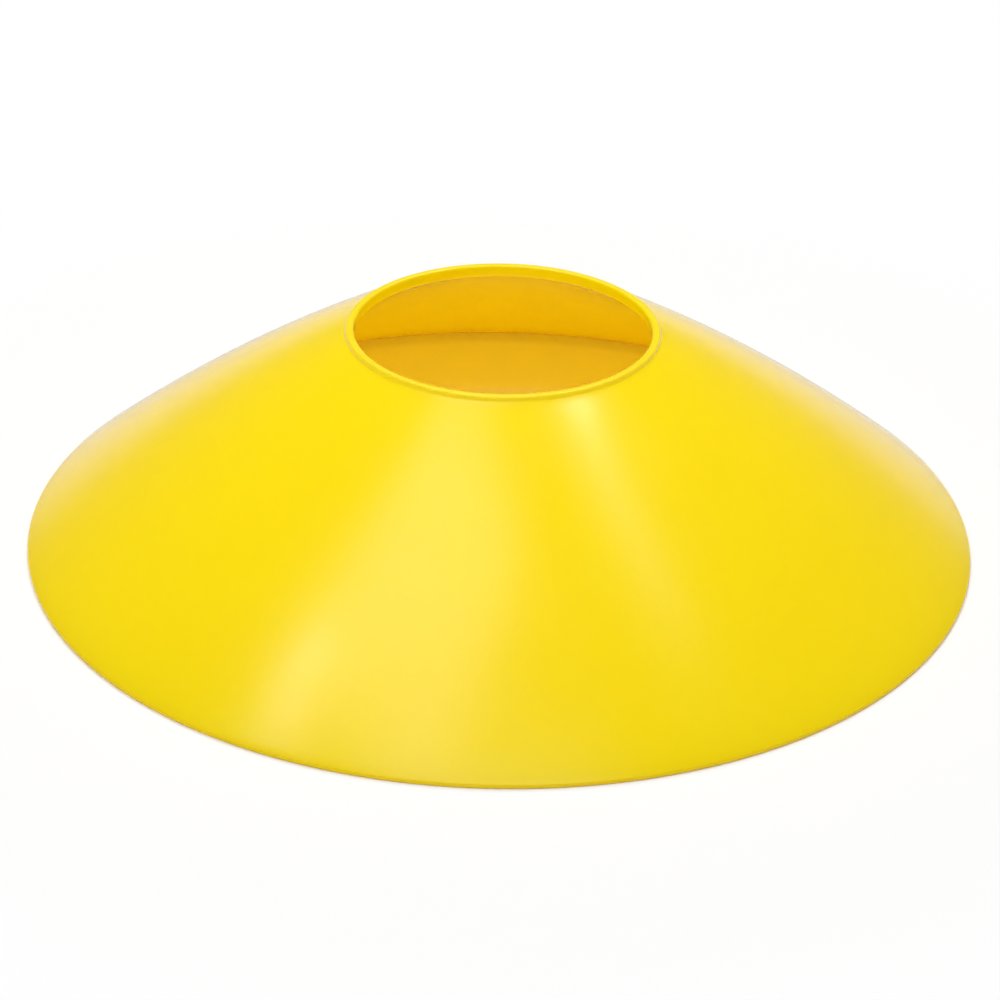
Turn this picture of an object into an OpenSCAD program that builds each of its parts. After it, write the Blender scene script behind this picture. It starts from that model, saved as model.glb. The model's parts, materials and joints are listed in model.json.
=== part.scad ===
// Disc marker cone: a low, hollow training cone of soft plastic with a hole in its top.
// It is one moulding, open underneath, turned round the Z axis and standing on Z = 0.
// Lengths are in millimetres.

/* [Disc] */
// Diameter across the foot, where the disc stands
base_d = 190; // [150:1:230]
// Height from the ground to the top of the lip
height = 45; // [35:0.5:60]
// Swell of the flank past a straight line from foot to lip
flank_crown = 1.7; // [0.2:0.1:4]
// Thickness of the moulded shell
wall = 2; // [1.2:0.1:3]
// Height of the upright edge round the foot
foot_h = 0.8; // [0.6:0.1:1.2]
// Radius on the edges of the foot
foot_r = 0.3; // [0.1:0.05:0.5]

/* [Hole] */
// Diameter of the hole in the top
hole_d = 58.6; // [50:0.2:72]
// Width of the raised lip round the hole
lip_w = 1.7; // [1:0.1:3]
// Rise of the lip above the flank beside it
lip_h = 0.9; // [0.5:0.1:1.5]
// Radius on the edges of the lip and of the hole
lip_r = 0.5; // [0.2:0.05:0.7]
// Radius in the crease where the lip rises from the flank
crease_r = 0.4; // [0.1:0.05:0.6]

/* [Hidden] */

foot_radius = base_d / 2;
hole_radius = hole_d / 2;
shoulder_radius = hole_radius + lip_w;

// Straight pieces along the flank, along each rounded edge and round the disc
flank_steps = 24;
round_steps = 6;
turn_steps = 240;

// Most that one rounded edge takes of the face beside it, and of the rise of the lip
round_share = 0.45;
rise_share = 0.6;

// Ends of the flank as [radius, height]: the top of the foot and the crease at the lip
foot_top = [foot_radius, foot_h];
crease = [shoulder_radius, height - lip_h];
chord = crease - foot_top;

// The unit vector square to a direction that runs up the flank, away from the shell
function outward(run) = [run[1], -run[0]] / norm(run);

// Outer face of the flank, a shallow arch from the foot (share 0) to the crease (share 1)
function flank(share) =
    foot_top + share * chord + 4 * flank_crown * share * (1 - share) * outward(chord);
function flank_run(share) = chord + 4 * flank_crown * (1 - 2 * share) * outward(chord);

// Inner face of the flank, one wall thickness under the outer face
function skin(share) = flank(share) - wall * outward(flank_run(share));

// Share at which the inner face reaches a given radius (axis 0) or height (axis 1)
function skin_share(axis, level, low, high, halvings = 30) =
    let (middle = (low + high) / 2)
    halvings == 0
        ? middle
        : (skin(middle)[axis] - level) * (skin(low)[axis] - level) > 0
            ? skin_share(axis, level, middle, high, halvings - 1)
            : skin_share(axis, level, low, middle, halvings - 1);

skin_foot_share = skin_share(1, 0, -0.5, 0.5);
skin_hole_share = skin_share(0, hole_radius, 0.5, 1.5);
skin_foot = [skin(skin_foot_share)[0], 0];
skin_hole = [hole_radius, skin(skin_hole_share)[1]];

// Points of an arc that rounds the corner between the ways back to one point and on to the next
function rounded(before, corner, after, radius) =
    let (
        back = (before - corner) / norm(before - corner),
        on = (after - corner) / norm(after - corner),
        half = acos(back * on) / 2,
        centre = corner + (back + on) / norm(back + on) * radius / sin(half),
        start = corner + back * radius / tan(half) - centre,
        sweep = (180 - 2 * half) * sign(back[1] * on[0] - back[0] * on[1])
    )
    [for (step = [0:round_steps])
        let (turn = sweep * step / round_steps)
        centre + [
            start[0] * cos(turn) - start[1] * sin(turn),
            start[0] * sin(turn) + start[1] * cos(turn)
        ]];

// The wall cut through on one side of the axis, starting under the foot and going
// up the outside, over the lip, down the hole and back along the inside
function shell_outline() =
    let (
        foot_out = [foot_radius, 0],
        lip_out = [shoulder_radius, height],
        lip_in = [hole_radius, height],
        first = 1 / flank_steps,
        last = 1 - first,
        skin_step = (skin_hole_share - skin_foot_share) / flank_steps,
        foot_round = min(foot_r, round_share * foot_h),
        hole_face = height - skin_hole[1],
        lip_round = min(lip_r, round_share * min(lip_w, hole_face), rise_share * lip_h),
        crease_round = min(crease_r, round_share * lip_h)
    )
    concat(
        rounded(skin_foot, foot_out, foot_top, foot_round),
        rounded(foot_out, foot_top, flank(first), foot_round),
        [for (step = [1:flank_steps - 1]) flank(step / flank_steps)],
        rounded(flank(last), crease, lip_out, crease_round),
        rounded(crease, lip_out, lip_in, lip_round),
        rounded(lip_out, lip_in, skin_hole, lip_round),
        rounded(lip_in, skin_hole, skin(skin_hole_share - skin_step), lip_round),
        [for (step = [flank_steps - 1:-1:1]) skin(skin_foot_share + step * skin_step)],
        rounded(skin(skin_foot_share + skin_step), skin_foot, foot_out, foot_round)
    );

module disc_cone() {
    color("#f8da00")
        rotate_extrude($fn = turn_steps)
            polygon(shell_outline());
}

disc_cone();
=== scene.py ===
"""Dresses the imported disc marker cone: its moulded shell, plastic, floor, light and camera."""
import json
import math

import bmesh
import bpy
from bpy.props import (
    FloatProperty,
    FloatVectorProperty,
    IntProperty,
    PointerProperty,
)
from mathutils import Matrix, Vector


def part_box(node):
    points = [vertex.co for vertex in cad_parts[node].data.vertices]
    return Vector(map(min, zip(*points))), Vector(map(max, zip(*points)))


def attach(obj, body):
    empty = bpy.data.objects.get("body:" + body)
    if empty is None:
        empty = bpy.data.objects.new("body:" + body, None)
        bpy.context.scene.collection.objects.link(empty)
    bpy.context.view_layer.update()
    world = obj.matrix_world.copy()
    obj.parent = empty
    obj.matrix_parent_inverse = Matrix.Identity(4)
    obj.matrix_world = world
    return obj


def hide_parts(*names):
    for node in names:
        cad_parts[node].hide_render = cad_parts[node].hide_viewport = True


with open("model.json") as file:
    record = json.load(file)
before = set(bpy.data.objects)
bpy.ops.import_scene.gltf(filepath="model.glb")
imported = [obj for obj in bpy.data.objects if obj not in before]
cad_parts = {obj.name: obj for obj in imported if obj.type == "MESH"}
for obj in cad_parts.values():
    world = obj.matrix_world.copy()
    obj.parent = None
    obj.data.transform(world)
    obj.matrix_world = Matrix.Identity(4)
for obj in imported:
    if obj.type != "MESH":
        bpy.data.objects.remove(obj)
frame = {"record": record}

bl_info = {
    "name": "Disc Marker Cone",
    "version": (1, 0, 0),
    "blender": (4, 5, 0),
    "location": "3D View > Sidebar > Disc Cone",
    "description": "Builds a soft plastic training disc with its plastic, floor, light and camera",
    "category": "Add Mesh",
}

MM = 0.001
CAD_NODE = "disc_cone"
CAD_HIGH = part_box(CAD_NODE)[1]
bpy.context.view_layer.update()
CAD_MOUNTS = {mount["name"]: mount for mount in frame["record"]["mounts"]}
HOLE_RADIUS = CAD_MOUNTS["top_hole"]["dims"]["r_mm"] * MM

# Points of the turned shell that lie nearer to each other than this become one
MERGE_DISTANCE = 0.001 * MM

# Most of a noise lies between these two values
NOISE_LOW = 0.3
NOISE_HIGH = 0.7

# Sides of the round floor
FLOOR_SEGMENTS = 96

# The camera sees what lies between these two distances, in metres
NEAREST_SEEN = 0.01
FARTHEST_SEEN = 50

# Soft light panels, all at the panel height: where they hang and their sizes, in metres,
# how far they are turned about the way they face, in degrees, and how bright they are
PANELS = {
    "main": dict(across=-0.38, deep=-0.23, width=0.80, length=0.77, turn=18, radiance=4.95),
    "left": dict(across=-1.0, deep=-0.27, width=0.11, length=0.17, turn=16, radiance=41.0),
    "right": dict(across=0.58, deep=0.47, width=0.25, length=0.22, turn=-44, radiance=32.5),
    "side": dict(across=0.74, deep=0.08, width=0.52, length=0.14, turn=36, radiance=5.5),
    "front": dict(across=0.0, deep=-1.0, width=1.2, length=0.5, turn=0, radiance=3.45),
    "back": dict(across=0.0, deep=1.4, width=1.4, length=0.7, turn=0, radiance=4.8),
}


class DiscShape(bpy.types.PropertyGroup):
    """Sizes of the moulded shell"""

    base_radius: FloatProperty(
        name="Base radius",
        description="Radius of the foot that the disc stands on",
        default=CAD_HIGH.x,
        unit="LENGTH",
        precision=4,
    )
    height: FloatProperty(
        name="Height",
        description="Height from the ground to the top of the lip",
        default=CAD_HIGH.z,
        unit="LENGTH",
        precision=4,
    )
    hole_radius: FloatProperty(
        name="Hole radius",
        description="Radius of the hole in the top",
        default=HOLE_RADIUS,
        unit="LENGTH",
        precision=4,
    )
    flank_crown: FloatProperty(
        name="Flank crown",
        description="Swell of the flank past a straight line from foot to lip",
        default=1.7 * MM,
        unit="LENGTH",
        precision=5,
    )
    wall: FloatProperty(
        name="Wall",
        description="Thickness of the moulded shell",
        default=2.0 * MM,
        unit="LENGTH",
        precision=5,
    )
    foot_height: FloatProperty(
        name="Foot height",
        description="Height of the upright edge round the foot",
        default=0.8 * MM,
        unit="LENGTH",
        precision=5,
    )
    foot_round: FloatProperty(
        name="Foot rounding",
        description="Radius on the edges of the foot",
        default=0.3 * MM,
        unit="LENGTH",
        precision=5,
    )
    lip_width: FloatProperty(
        name="Lip width",
        description="Width of the raised lip round the hole",
        default=1.7 * MM,
        unit="LENGTH",
        precision=5,
    )
    lip_height: FloatProperty(
        name="Lip height",
        description="Rise of the lip above the flank beside it",
        default=0.9 * MM,
        unit="LENGTH",
        precision=5,
    )
    lip_round: FloatProperty(
        name="Lip rounding",
        description="Radius on the edges of the lip and of the hole",
        default=0.5 * MM,
        unit="LENGTH",
        precision=5,
    )
    crease_round: FloatProperty(
        name="Crease rounding",
        description="Radius in the crease where the lip rises from the flank",
        default=0.4 * MM,
        unit="LENGTH",
        precision=5,
    )
    flank_cuts: IntProperty(
        name="Flank cuts",
        description="Rings of points along the flank between foot and lip",
        default=47,
        min=3,
    )
    round_cuts: IntProperty(
        name="Rounding segments",
        description="Segments along each rounded edge",
        default=6,
        min=1,
    )
    turn_steps: IntProperty(
        name="Turn steps",
        description="Segments round the disc",
        default=288,
        min=24,
    )


class DiscPlastic(bpy.types.PropertyGroup):
    """Colours and finish of the soft plastic"""

    body_colour: FloatVectorProperty(
        name="Body",
        description="Colour of the plastic where light falls on it",
        default=(1.0, 0.97, 0.0),
        subtype="COLOR",
        min=0.0,
        max=1.0,
    )
    cloud_colour: FloatVectorProperty(
        name="Cloud",
        description="Colour of the faint cloudy patches in the plastic",
        default=(0.99, 0.95, 0.0),
        subtype="COLOR",
        min=0.0,
        max=1.0,
    )
    cloud_size: FloatProperty(
        name="Cloud size",
        description="Size of the cloudy patches",
        default=22 * MM,
        unit="LENGTH",
        precision=4,
    )
    glow_colour: FloatVectorProperty(
        name="Glow",
        description="Colour of light that has come through the wall",
        default=(1.0, 0.77, 0.0),
        subtype="COLOR",
        min=0.0,
        max=1.0,
    )
    # Painted shade: this deeper glow colour on the lowest part of the wall stands in for the shade
    # where the wall meets the floor
    foot_shade_glow_colour: FloatVectorProperty(
        name="Glow at the foot",
        description="Deeper colour of light that has come through the wall near its foot",
        default=(1.0, 0.66, 0.0),
        subtype="COLOR",
        min=0.0,
        max=1.0,
    )
    # Height of the painted shade at the foot of the wall
    foot_shade_height: FloatProperty(
        name="Height of the foot's glow",
        description="Height over which the deeper glow gives way to the plain one",
        default=3.0 * MM,
        unit="LENGTH",
        precision=4,
    )
    glow: FloatProperty(
        name="Glow share",
        description="Share of the light that goes through each face of the wall",
        default=0.45,
        subtype="FACTOR",
        min=0.0,
        max=1.0,
    )
    gloss: FloatProperty(
        name="Gloss",
        description="Strength of the plastic's reflections",
        default=0.44,
        subtype="FACTOR",
        min=0.0,
        max=1.0,
    )
    refraction: FloatProperty(
        name="Refractive index",
        description="Refractive index of the plastic",
        default=1.5,
        min=1.0,
    )
    rim_sheen: FloatProperty(
        name="Rim sheen",
        description="Share of light that the skin mirrors where it is seen edge on",
        default=0.95,
        subtype="FACTOR",
        min=0.0,
        max=1.0,
    )
    rim_falloff: FloatProperty(
        name="Rim falloff",
        description="How fast the rim sheen fades as the skin turns towards the eye",
        default=8.2,
        min=1.0,
    )
    roughness_low: FloatProperty(
        name="Least roughness",
        description="Roughness on the smoothest patches",
        default=0.21,
        subtype="FACTOR",
        min=0.0,
        max=1.0,
    )
    roughness_high: FloatProperty(
        name="Most roughness",
        description="Roughness on the dullest patches",
        default=0.26,
        subtype="FACTOR",
        min=0.0,
        max=1.0,
    )
    dull_size: FloatProperty(
        name="Dull patch size",
        description="Size of the smoother and duller patches",
        default=9 * MM,
        unit="LENGTH",
        precision=4,
    )
    grain: FloatProperty(
        name="Grain size",
        description="Size of the fine satin grain left by the mould",
        default=0.35 * MM,
        unit="LENGTH",
        precision=5,
    )
    grain_depth: FloatProperty(
        name="Grain depth",
        description="Depth of the satin grain",
        default=0.008 * MM,
        unit="LENGTH",
        precision=6,
    )
    ripple: FloatProperty(
        name="Ripple size",
        description="Size of the slow ripples of a thin moulding",
        default=30 * MM,
        unit="LENGTH",
        precision=4,
    )
    ripple_depth: FloatProperty(
        name="Ripple depth",
        description="Depth of the slow ripples",
        default=0.12 * MM,
        unit="LENGTH",
        precision=5,
    )


class DiscStudio(bpy.types.PropertyGroup):
    """Floor, light and camera"""

    lens: FloatProperty(
        name="Lens",
        description="Focal length of the camera",
        default=108.1,
        subtype="DISTANCE_CAMERA",
    )
    sensor_width: FloatProperty(
        name="Sensor width",
        description="Width of the camera's sensor",
        default=36.0,
        subtype="DISTANCE_CAMERA",
    )
    camera_distance: FloatProperty(
        name="Camera distance",
        description="Distance of the camera from the axis, along the floor",
        default=0.5346,
        unit="LENGTH",
        precision=4,
    )
    camera_height: FloatProperty(
        name="Camera height",
        description="Height of the camera above the floor",
        default=0.2961,
        unit="LENGTH",
        precision=4,
    )
    camera_pitch: FloatProperty(
        name="Camera pitch",
        description="Angle by which the camera looks down",
        default=math.radians(28.46),
        subtype="ANGLE",
    )
    camera_roll: FloatProperty(
        name="Camera roll",
        description="Angle by which the camera leans to its left",
        default=math.radians(1.035),
        subtype="ANGLE",
    )
    floor_radius: FloatProperty(
        name="Floor radius",
        description="Radius of the round white floor",
        default=6.0,
        unit="LENGTH",
    )
    white_start: FloatProperty(
        name="White starts",
        description="Distance from the axis at which the paper starts to turn plain white",
        default=0.11,
        unit="LENGTH",
        precision=3,
    )
    white_end: FloatProperty(
        name="White all over",
        description="Distance from the axis past which the floor is seen as plain white",
        default=0.20,
        unit="LENGTH",
        precision=3,
    )
    tone_under: FloatProperty(
        name="Tone under the disc",
        description="Tone of the paper that the disc covers, which lights its inside",
        default=0.96,
        subtype="FACTOR",
        min=0.0,
        max=1.0,
    )
    tone_round: FloatProperty(
        name="Tone round the disc",
        description="Tone of the paper round the disc, just low enough to stay under white",
        default=0.81,
        subtype="FACTOR",
        min=0.0,
        max=1.0,
    )
    tone_foot: FloatProperty(
        name="Tone at the foot",
        description="Tone of the paper just inside the disc's foot, in the foot's shade",
        default=0.86,
        subtype="FACTOR",
        min=0.0,
        max=1.0,
    )
    foot_width: FloatProperty(
        name="Foot width",
        description="Width of the disc's foot, under which the paper takes its outer tone",
        default=2.0 * MM,
        unit="LENGTH",
        precision=5,
    )
    shade_width: FloatProperty(
        name="Shade width",
        description="Width of the shaded paper inside the foot",
        default=3.5 * MM,
        unit="LENGTH",
        precision=5,
    )
    shade_fade: FloatProperty(
        name="Shade fade",
        description="Width over which the shade gives way to the tone under the disc",
        default=3.0 * MM,
        unit="LENGTH",
        precision=5,
    )
    ambient: FloatProperty(
        name="Ambient",
        description="Light from all round the room",
        default=0.27,
        min=0.0,
    )
    horizon_band: FloatProperty(
        name="Horizon band",
        description="Sine of the angle above the floor's horizon at which the white ends",
        default=0.06,
        min=0.0,
        max=1.0,
    )
    bounces: IntProperty(
        name="Light bounces",
        description="Most bounces of light, of which the inside of a translucent shell needs many",
        default=24,
        min=4,
    )
    panel_height: FloatProperty(
        name="Panel height",
        description="Height of the soft light panels above the floor",
        default=1.6,
        unit="LENGTH",
    )


def outward(run):
    """Unit vector square to a direction that runs up the flank, away from the shell"""
    return Vector((run.z, 0, -run.x)).normalized()


def arch(low, high, crown, cuts):
    """Points between two ends, the lower one first, on a shallow arch that swells outwards"""
    chord = high - low
    shares = (step / (cuts + 1) for step in range(1, cuts + 1))
    return [
        low + share * chord + 4 * crown * share * (1 - share) * outward(chord) for share in shares
    ]


def round_corner(bm, vert, radius, segments):
    """Rounds a corner of the section with an arc of the given radius"""
    ways = [(edge.other_vert(vert).co - vert.co).normalized() for edge in vert.link_edges]
    half_angle = ways[0].angle(ways[1]) / 2
    bmesh.ops.bevel(
        bm,
        geom=[vert],
        offset=radius / math.tan(half_angle),
        offset_type="OFFSET",
        affect="VERTICES",
        segments=segments,
        profile=0.5,
        material=-1,
    )


def draw_section(bm, shape):
    """Draws the wall cut through on one side of the axis, as one closed line of edges"""
    shoulder_radius = shape.hole_radius + shape.lip_width
    foot_out = Vector((shape.base_radius, 0, 0))
    foot_top = Vector((shape.base_radius, 0, shape.foot_height))
    crease = Vector((shoulder_radius, 0, shape.height - shape.lip_height))
    lip_out = Vector((shoulder_radius, 0, shape.height))
    lip_in = Vector((shape.hole_radius, 0, shape.height))

    # The inner face lies one wall under the outer one and ends on the ground and at the hole
    chord = crease - foot_top
    swell = 4 * shape.flank_crown * outward(chord)
    run_foot = chord + swell
    run_lip = chord - swell
    skin_foot = foot_top - shape.wall * outward(run_foot)
    skin_foot -= run_foot * skin_foot.z / run_foot.z
    skin_hole = crease - shape.wall * outward(run_lip)
    skin_hole += run_lip * (shape.hole_radius - skin_hole.x) / run_lip.x
    skin_crown = shape.flank_crown * (skin_hole - skin_foot).length_squared / chord.length_squared

    flank = arch(foot_top, crease, shape.flank_crown, shape.flank_cuts)
    skin = arch(skin_foot, skin_hole, skin_crown, shape.flank_cuts)
    skin.reverse()
    places = [foot_out, foot_top, *flank, crease, lip_out, lip_in, skin_hole, *skin, skin_foot]
    rounds = {
        places.index(foot_out): shape.foot_round,
        places.index(foot_top): shape.foot_round,
        places.index(crease): shape.crease_round,
        places.index(lip_out): shape.lip_round,
        places.index(lip_in): shape.lip_round,
        places.index(skin_hole): shape.lip_round,
        places.index(skin_foot): shape.foot_round,
    }
    verts = [bm.verts.new(place) for place in places]
    for index, vert in enumerate(verts):
        bm.edges.new((verts[index - 1], vert))
    for index, radius in rounds.items():
        round_corner(bm, verts[index], radius, shape.round_cuts)


def build_shell(shape):
    """Turns the section round the axis into the closed shell of the disc"""
    bm = bmesh.new()
    draw_section(bm, shape)
    bmesh.ops.spin(
        bm,
        geom=bm.verts[:] + bm.edges[:],
        cent=(0, 0, 0),
        axis=(0, 0, 1),
        angle=math.tau,
        steps=shape.turn_steps,
        use_merge=True,
        use_duplicate=False,
    )
    bmesh.ops.remove_doubles(bm, verts=bm.verts, dist=MERGE_DISTANCE)
    bmesh.ops.recalc_face_normals(bm, faces=bm.faces)
    for face in bm.faces:
        face.smooth = True
    mesh = bpy.data.meshes.new("disc_shell")
    bm.to_mesh(mesh)
    bm.free()
    shell = bpy.data.objects.new("disc_shell", mesh)
    bpy.context.scene.collection.objects.link(shell)
    return shell


def new_material(name):
    """A material with an empty node tree"""
    material = bpy.data.materials.new(name)
    material.use_nodes = True
    tree = material.node_tree
    tree.nodes.clear()
    return material, tree


def feed(tree, socket, value):
    """Joins an input to another node's output, or sets it to a plain value"""
    if isinstance(value, bpy.types.NodeSocket):
        tree.links.new(value, socket)
    else:
        socket.default_value = value


def node(tree, kind, *in_order, **by_name):
    """Adds a node, sets its settings, and feeds its inputs by their order or by their names"""
    made = tree.nodes.new(kind)
    # A setting that decides which inputs there are comes before them in the call
    for key, value in by_name.items():
        if hasattr(made, key):
            setattr(made, key, value)
        else:
            feed(tree, made.inputs[key.replace("_", " ")], value)
    for socket, value in zip(made.inputs, in_order):
        feed(tree, socket, value)
    return made


def calculate(tree, operation, first, second):
    """One step of arithmetic on two numbers"""
    return node(tree, "ShaderNodeMath", first, second, operation=operation).outputs["Value"]


def ramp(tree, source, start, end, low, high, interpolation="LINEAR"):
    """Goes from low to high while the source goes from start to end"""
    made = node(
        tree,
        "ShaderNodeMapRange",
        interpolation_type=interpolation,
        Value=source,
        From_Min=start,
        From_Max=end,
        To_Min=low,
        To_Max=high,
    )
    return made.outputs["Result"]


def mix_colours(tree, share, first, second):
    """Goes from the first colour to the second while the share goes from 0 to 1"""
    made = node(
        tree, "ShaderNodeMix", data_type="RGBA", Factor=share, A=(*first, 1), B=(*second, 1)
    )
    return made.outputs["Result"]


def mix_shaders(tree, share, first, second):
    """Goes from the first shader to the second while the share goes from 0 to 1"""
    return node(tree, "ShaderNodeMixShader", share, first, second).outputs["Shader"]


def noise(tree, place, size, detail):
    """Noise with patches of about the given size"""
    made = node(
        tree, "ShaderNodeTexNoise", Vector=place, Scale=1 / size, Detail=detail, Roughness=0.5
    )
    return made.outputs["Fac"]


def patches(tree, place, size, detail, low, high):
    """Values from low to high, in soft patches of about the given size"""
    return ramp(tree, noise(tree, place, size, detail), NOISE_LOW, NOISE_HIGH, low, high)


def cloudy_yellow(tree, place, look):
    """Colour of the plastic, with its faint clouds"""
    clouds = patches(tree, place, look.cloud_size, detail=3, low=0, high=1)
    return mix_colours(tree, clouds, look.body_colour, look.cloud_colour)


def moulded_skin(tree, place, look):
    """Normal of the skin, with the slow ripples of a thin moulding and its satin grain"""
    ripples = node(
        tree,
        "ShaderNodeBump",
        Strength=1.0,
        Distance=look.ripple_depth,
        Height=noise(tree, place, look.ripple, detail=3),
    )
    grain = node(
        tree,
        "ShaderNodeBump",
        Strength=1.0,
        Distance=look.grain_depth,
        Height=noise(tree, place, look.grain, detail=2),
        Normal=ripples.outputs["Normal"],
    )
    return grain.outputs["Normal"]


def light_through_wall(tree, place, look):
    """Light that comes through the wall, with painted shade: a deeper colour near the foot stands
    in for the shade where the wall meets the floor
    """
    height = node(tree, "ShaderNodeSeparateXYZ", Vector=place).outputs["Z"]
    rise = ramp(tree, height, 0, look.foot_shade_height, 0, 1, interpolation="SMOOTHSTEP")
    # Painted shade: the glow turns deeper towards the foot, standing in for the shade in the
    # corner with the floor
    shaded_tint = mix_colours(tree, rise, look.foot_shade_glow_colour, look.glow_colour)
    return node(tree, "ShaderNodeBsdfTranslucent", Color=shaded_tint).outputs["BSDF"]


def rim_share(tree, look):
    """Share of light that the skin mirrors, which is near nothing where it faces the eye"""
    # With this blend, Facing is 1 less the cosine of the angle at which the skin is seen
    edge_on = node(tree, "ShaderNodeLayerWeight", Blend=0.5).outputs["Facing"]
    faded = calculate(tree, "POWER", edge_on, look.rim_falloff)
    return calculate(tree, "MULTIPLY", faded, look.rim_sheen)


def soft_plastic(look):
    """Soft translucent yellow plastic with a satin skin, faint clouds and slow ripples"""
    material, tree = new_material("soft_yellow_plastic")
    place = node(tree, "ShaderNodeTexCoord").outputs["Object"]
    roughness = patches(
        tree, place, look.dull_size, detail=4, low=look.roughness_low, high=look.roughness_high
    )
    normal = moulded_skin(tree, place, look)
    skin = node(
        tree,
        "ShaderNodeBsdfPrincipled",
        Base_Color=cloudy_yellow(tree, place, look),
        Roughness=roughness,
        IOR=look.refraction,
        Specular_IOR_Level=look.gloss,
        Normal=normal,
    )
    through = light_through_wall(tree, place, look)
    wall = mix_shaders(tree, look.glow, skin.outputs["BSDF"], through)
    sheen = node(tree, "ShaderNodeBsdfAnisotropic", Roughness=look.roughness_high, Normal=normal)
    surface = mix_shaders(tree, rim_share(tree, look), wall, sheen.outputs["BSDF"])
    node(tree, "ShaderNodeOutputMaterial", Surface=surface)
    return material


def seen_directly(tree):
    """1 for what the camera sees, mirrored and refracted too, and 0 for the light on things"""
    rays = node(tree, "ShaderNodeLightPath").outputs
    total = rays["Is Camera Ray"]
    for ray in (rays["Is Glossy Ray"], rays["Is Transmission Ray"]):
        added = node(tree, "ShaderNodeMath", total, ray, operation="ADD", use_clamp=True)
        total = added.outputs["Value"]
    return total


def paper_tone(tree, from_axis, studio):
    """Tone of the paper: darker towards the foot under the disc, and even round the disc"""
    foot_inside = CAD_HIGH.x - studio.foot_width
    fade_end = foot_inside - studio.shade_width
    fade_start = fade_end - studio.shade_fade
    under = ramp(tree, from_axis, fade_start, fade_end, studio.tone_under, studio.tone_foot)
    outside = calculate(tree, "GREATER_THAN", from_axis, foot_inside)
    tone = node(
        tree, "ShaderNodeMix", data_type="FLOAT", Factor=outside, A=under, B=studio.tone_round
    )
    return tone.outputs["Result"]


def white_floor(studio):
    """White paper that keeps the shadow near the disc and is plain white further out"""
    material, tree = new_material("white_floor")
    place = node(tree, "ShaderNodeTexCoord").outputs["Object"]
    from_axis = node(tree, "ShaderNodeVectorMath", place, operation="LENGTH").outputs["Value"]
    paper = node(tree, "ShaderNodeBsdfDiffuse", Color=paper_tone(tree, from_axis, studio))
    white = node(tree, "ShaderNodeEmission", Strength=1.0)
    far = ramp(
        tree, from_axis, studio.white_start, studio.white_end, 0, 1, interpolation="SMOOTHSTEP"
    )
    share = calculate(tree, "MULTIPLY", far, seen_directly(tree))
    surface = mix_shaders(tree, share, paper.outputs["BSDF"], white.outputs["Emission"])
    node(tree, "ShaderNodeOutputMaterial", Surface=surface)
    return material


def lay_floor(studio):
    """Lays the round white floor, which isn't part of the disc"""
    bm = bmesh.new()
    bmesh.ops.create_circle(
        bm, cap_ends=True, radius=studio.floor_radius, segments=FLOOR_SEGMENTS
    )
    mesh = bpy.data.meshes.new("floor")
    bm.to_mesh(mesh)
    bm.free()
    floor = bpy.data.objects.new("floor", mesh)
    floor.data.materials.append(white_floor(studio))
    bpy.context.scene.collection.objects.link(floor)


def light_room(studio):
    """Fills the room with soft light: white near the floor's horizon, dimmer overhead"""
    world = bpy.data.worlds.new("studio_room")
    world.use_nodes = True
    bpy.context.scene.world = world
    tree = world.node_tree
    tree.nodes.clear()
    way = node(tree, "ShaderNodeTexCoord").outputs["Generated"]
    rise = node(tree, "ShaderNodeSeparateXYZ", Vector=way).outputs["Z"]
    level = ramp(tree, rise, 0, studio.horizon_band, 1, studio.ambient, interpolation="SMOOTHSTEP")
    light = node(tree, "ShaderNodeBackground", Color=(1, 1, 1, 1), Strength=level)
    node(tree, "ShaderNodeOutputWorld", Surface=light.outputs["Background"])


def hang_panel(name, height, across, deep, width, length, turn, radiance):
    """Hangs a soft rectangular light over the disc, facing it"""
    data = bpy.data.lights.new(name, "AREA")
    data.shape = "RECTANGLE"
    data.size = width
    data.size_y = length
    # The power of a flat panel that is equally bright from every side
    data.energy = radiance * math.pi * width * length
    panel = bpy.data.objects.new(name, data)
    place = Vector((across, deep, height))
    facing = place.to_track_quat("Z", "Y").to_matrix().to_4x4()
    spin = Matrix.Rotation(math.radians(turn), 4, "Z")
    panel.matrix_world = Matrix.Translation(place) @ facing @ spin
    bpy.context.scene.collection.objects.link(panel)


def place_camera(studio):
    """Sets the camera where the photograph was taken from"""
    data = bpy.data.cameras.new("camera")
    data.lens = studio.lens
    data.sensor_width = studio.sensor_width
    data.clip_start = NEAREST_SEEN
    data.clip_end = FARTHEST_SEEN
    camera = bpy.data.objects.new("camera", data)
    place = Matrix.Translation((0, -studio.camera_distance, studio.camera_height))
    down = Matrix.Rotation(math.pi / 2 - studio.camera_pitch, 4, "X")
    lean = Matrix.Rotation(studio.camera_roll, 4, "Z")
    camera.matrix_world = place @ down @ lean
    bpy.context.scene.collection.objects.link(camera)
    bpy.context.scene.camera = camera


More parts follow.
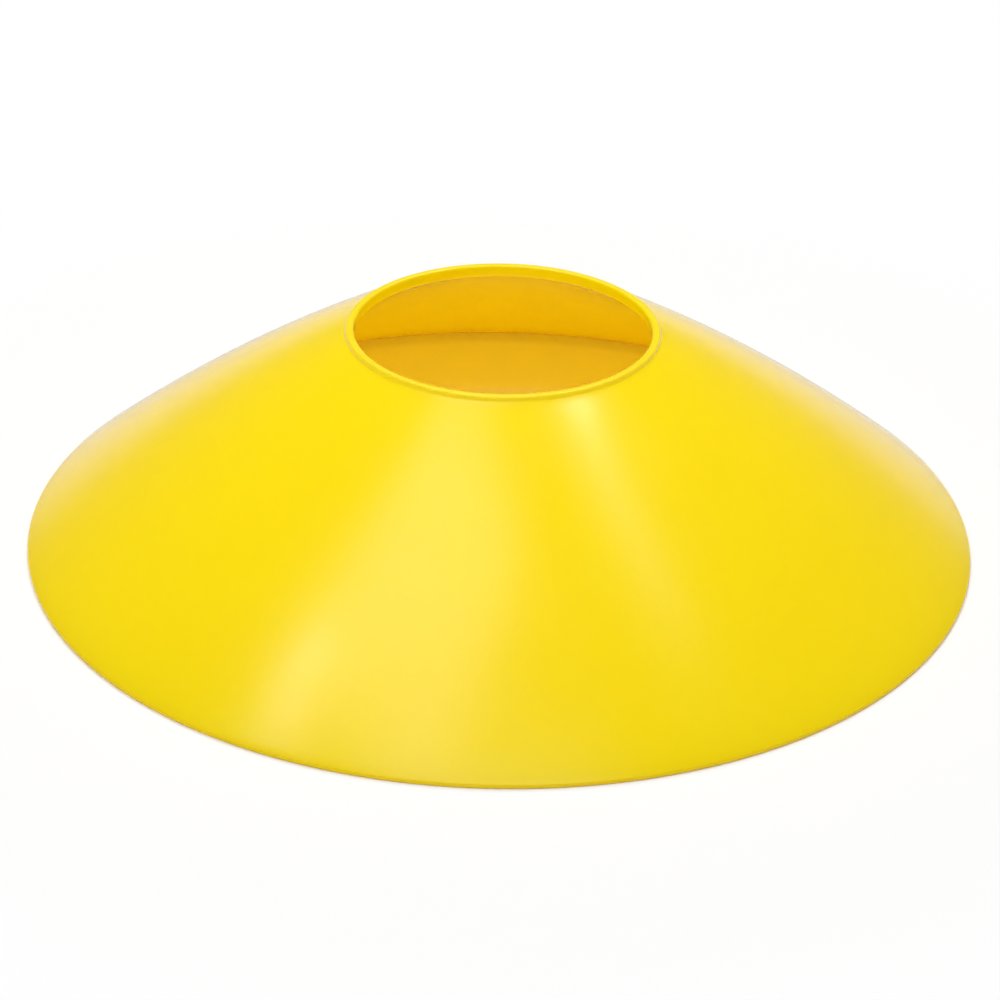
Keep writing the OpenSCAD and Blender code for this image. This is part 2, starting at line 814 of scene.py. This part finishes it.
class DISC_OT_shell(bpy.types.Operator):
    """Models the moulded shell of the disc and gives it its plastic"""

    bl_idname = "disc.shell"
    bl_label = "Disc Shell"

    def execute(self, context):
        shell = build_shell(context.scene.disc_shape)
        shell.data.materials.append(soft_plastic(context.scene.disc_plastic))
        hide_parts(CAD_NODE)
        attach(shell, "root")
        return {"FINISHED"}


class DISC_OT_stage(bpy.types.Operator):
    """Lays the floor, hangs the lights and places the camera"""

    bl_idname = "disc.stage"
    bl_label = "Floor, Light and Camera"

    def execute(self, context):
        studio = context.scene.disc_studio
        context.scene.view_settings.view_transform = "Standard"
        context.scene.cycles.max_bounces = studio.bounces
        context.scene.cycles.diffuse_bounces = studio.bounces
        lay_floor(studio)
        light_room(studio)
        for name, panel in PANELS.items():
            hang_panel(name, studio.panel_height, **panel)
        place_camera(studio)
        return {"FINISHED"}


class DISC_PT_panel(bpy.types.Panel):
    """Lists the disc's sizes, plastic and studio"""

    bl_label = "Disc Marker Cone"
    bl_idname = "DISC_PT_panel"
    bl_space_type = "VIEW_3D"
    bl_region_type = "UI"
    bl_category = "Disc Cone"

    def draw(self, context):
        for settings, operator in (
            ("disc_shape", "disc.shell"),
            ("disc_plastic", None),
            ("disc_studio", "disc.stage"),
        ):
            group = getattr(context.scene, settings)
            box = self.layout.box()
            for name in group.__annotations__:
                box.prop(group, name)
            if operator:
                box.operator(operator)


CLASSES = (DiscShape, DiscPlastic, DiscStudio, DISC_OT_shell, DISC_OT_stage, DISC_PT_panel)


def register():
    """Adds the settings, the operators and the panel"""
    for cls in CLASSES:
        bpy.utils.register_class(cls)
    bpy.types.Scene.disc_shape = PointerProperty(type=DiscShape)
    bpy.types.Scene.disc_plastic = PointerProperty(type=DiscPlastic)
    bpy.types.Scene.disc_studio = PointerProperty(type=DiscStudio)


def unregister():
    """Takes the settings, the operators and the panel out again"""
    del bpy.types.Scene.disc_studio
    del bpy.types.Scene.disc_plastic
    del bpy.types.Scene.disc_shape
    for cls in reversed(CLASSES):
        bpy.utils.unregister_class(cls)


def main():
    """Builds the disc and its stage"""
    register()
    bpy.ops.disc.shell()
    bpy.ops.disc.stage()


if __name__ == "__main__":
    main()
